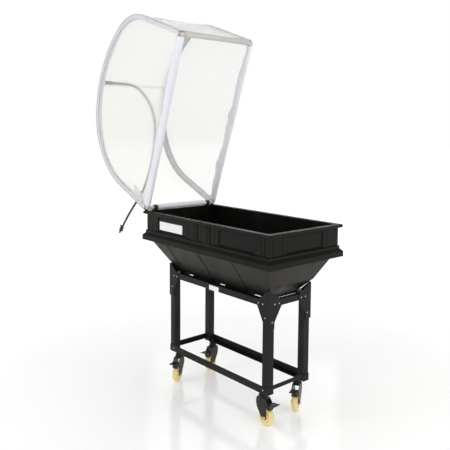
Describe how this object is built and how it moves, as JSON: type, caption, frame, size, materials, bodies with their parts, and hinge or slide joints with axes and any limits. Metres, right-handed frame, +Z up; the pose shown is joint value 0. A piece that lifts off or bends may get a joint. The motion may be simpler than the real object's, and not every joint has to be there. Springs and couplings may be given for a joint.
{
  "type": "cold frame",
  "caption": "Raised cold frame: a planter tub on a wheeled steel stand, with a hinged arched fabric canopy and a misting hose.",
  "frame": {"origin": "on the floor under the middle of the stand", "axes": "+Z up, +X towards the end away from the canopy hinge, -Y towards the labelled long side"},
  "size_m": [1.5318, 0.515, 2.0396],
  "materials": {
    "tub_plastic": "moulded charcoal plastic with a fine texture",
    "hopper_plastic": "thin vacuum-formed charcoal plastic, slightly smoother than the walls",
    "rubber_black": "soft black rubber",
    "label_white": "blank white plastic",
    "frame_steel": "black powder coat with a fine texture",
    "zinc_steel": "bright zinc plate",
    "caster_steel": "black semi-gloss paint on pressed steel",
    "wheel_nylon": "cream-yellow cast nylon",
    "pedal_plastic": "black moulded plastic",
    "cover_fabric": "translucent white woven cover cloth",
    "white_tube": "white coated tube",
    "socket_plastic": "off-white moulded plastic",
    "clip_plastic": "black moulded plastic",
    "hose_rubber": "black garden pipe",
    "fitting_plastic": "black moulded plastic"
  },
  "bodies": {
    "root": {"blank_labels": "label_white", "caster_heads": "caster_steel", "corner_gussets": "frame_steel", "corner_post_front_left": "tub_plastic", "corner_post_front_right": "tub_plastic", "corner_post_rear_left": "tub_plastic", "corner_post_rear_right": "tub_plastic", "drain_plug": "rubber_black", "frame_bolts": "zinc_steel", "hinge_clips": "clip_plastic", "hopper": "hopper_plastic", "leg_front_left": "frame_steel", "leg_front_right": "frame_steel", "leg_rear_left": "frame_steel", "leg_rear_right": "frame_steel", "lower_rail_front": "frame_steel", "lower_rail_left": "frame_steel", "lower_rail_rear": "frame_steel", "lower_rail_right": "frame_steel", "top_rail_front": "frame_steel", "top_rail_left": "frame_steel", "top_rail_rear": "frame_steel", "top_rail_right": "frame_steel", "wall_end_left": "tub_plastic", "wall_end_right": "tub_plastic", "wall_front_left": "tub_plastic", "wall_front_right": "tub_plastic", "wall_rear_left": "tub_plastic", "wall_rear_right": "tub_plastic"},
    "canopy": {"corner_sockets": "socket_plastic", "cover_gable_front": "cover_fabric", "cover_gable_rear": "cover_fabric", "cover_roof": "cover_fabric", "free_end_tube": "white_tube", "hinge_tube": "white_tube", "hoop_front": "white_tube", "hoop_rear": "white_tube", "hose_connector": "fitting_plastic", "hose_grommet": "rubber_black", "mist_head": "fitting_plastic", "mist_hose": "hose_rubber", "ridge_pole": "white_tube", "side_tube_front": "white_tube", "side_tube_rear": "white_tube"},
    "swivel_front_left": {"caster_fork_front_left": "caster_steel", "caster_axle_front_left": "zinc_steel"},
    "wheel_front_left": {"caster_wheel_front_left": "wheel_nylon"},
    "pedal_front_left": {"brake_pedal_front_left": "pedal_plastic"},
    "swivel_front_right": {"caster_fork_front_right": "caster_steel", "caster_axle_front_right": "zinc_steel"},
    "wheel_front_right": {"caster_wheel_front_right": "wheel_nylon"},
    "pedal_front_right": {"brake_pedal_front_right": "pedal_plastic"},
    "swivel_rear_right": {"caster_fork_rear_right": "caster_steel", "caster_axle_rear_right": "zinc_steel"},
    "wheel_rear_right": {"caster_wheel_rear_right": "wheel_nylon"},
    "pedal_rear_right": {"brake_pedal_rear_right": "pedal_plastic"},
    "swivel_rear_left": {"caster_fork_rear_left": "caster_steel", "caster_axle_rear_left": "zinc_steel"},
    "wheel_rear_left": {"caster_wheel_rear_left": "wheel_nylon"},
    "pedal_rear_left": {"brake_pedal_rear_left": "pedal_plastic"}
  },
  "joints": [
    {"name": "canopy_hinge", "type": "hinge", "parent": "root", "child": "canopy", "pos_m": [-0.482, 0, 0.969], "axis": [0, 1, 0], "range_deg": [0, 70.7]},
    {"name": "swivel_front_left", "type": "hinge", "parent": "root", "child": "swivel_front_left", "pos_m": [-0.3385, -0.122, 0.13], "axis": [0, 0, 1], "continuous": true},
    {"name": "wheel_front_left", "type": "hinge", "parent": "swivel_front_left", "child": "wheel_front_left", "pos_m": [-0.32723, -0.14319, 0.042], "axis": [0.8829, 0.4695, 0], "continuous": true},
    {"name": "pedal_front_left", "type": "hinge", "parent": "swivel_front_left", "child": "pedal_front_left", "pos_m": [-0.32066, -0.15555, 0.103], "axis": [0.8829, 0.4695, 0], "range_deg": [0, 10]},
    {"name": "swivel_front_right", "type": "hinge", "parent": "root", "child": "swivel_front_right", "pos_m": [0.3385, -0.122, 0.13], "axis": [0, 0, 1], "continuous": true},
    {"name": "wheel_front_right", "type": "hinge", "parent": "swivel_front_right", "child": "wheel_front_right", "pos_m": [0.36237, -0.11949, 0.042], "axis": [-0.1045, 0.9945, 0], "continuous": true},
    {"name": "pedal_front_right", "type": "hinge", "parent": "swivel_front_right", "child": "pedal_front_right", "pos_m": [0.37629, -0.11803, 0.103], "axis": [-0.1045, 0.9945, 0], "range_deg": [0, 10]},
    {"name": "swivel_rear_right", "type": "hinge", "parent": "root", "child": "swivel_rear_right", "pos_m": [0.3385, 0.122, 0.13], "axis": [0, 0, 1], "continuous": true},
    {"name": "wheel_rear_right", "type": "hinge", "parent": "swivel_rear_right", "child": "wheel_rear_right", "pos_m": [0.34977, 0.10081, 0.042], "axis": [0.8829, 0.4695, 0], "continuous": true},
    {"name": "pedal_rear_right", "type": "hinge", "parent": "swivel_rear_right", "child": "pedal_rear_right", "pos_m": [0.35634, 0.08845, 0.103], "axis": [0.8829, 0.4695, 0], "range_deg": [0, 10]},
    {"name": "swivel_rear_left", "type": "hinge", "parent": "root", "child": "swivel_rear_left", "pos_m": [-0.3385, 0.122, 0.13], "axis": [0, 0, 1], "continuous": true},
    {"name": "wheel_rear_left", "type": "hinge", "parent": "swivel_rear_left", "child": "wheel_rear_left", "pos_m": [-0.3331, 0.09861, 0.042], "axis": [0.9744, 0.225, 0], "continuous": true},
    {"name": "pedal_rear_left", "type": "hinge", "parent": "swivel_rear_left", "child": "pedal_rear_left", "pos_m": [-0.32995, 0.08497, 0.103], "axis": [0.9744, 0.225, 0], "range_deg": [0, 10]}
  ]
}
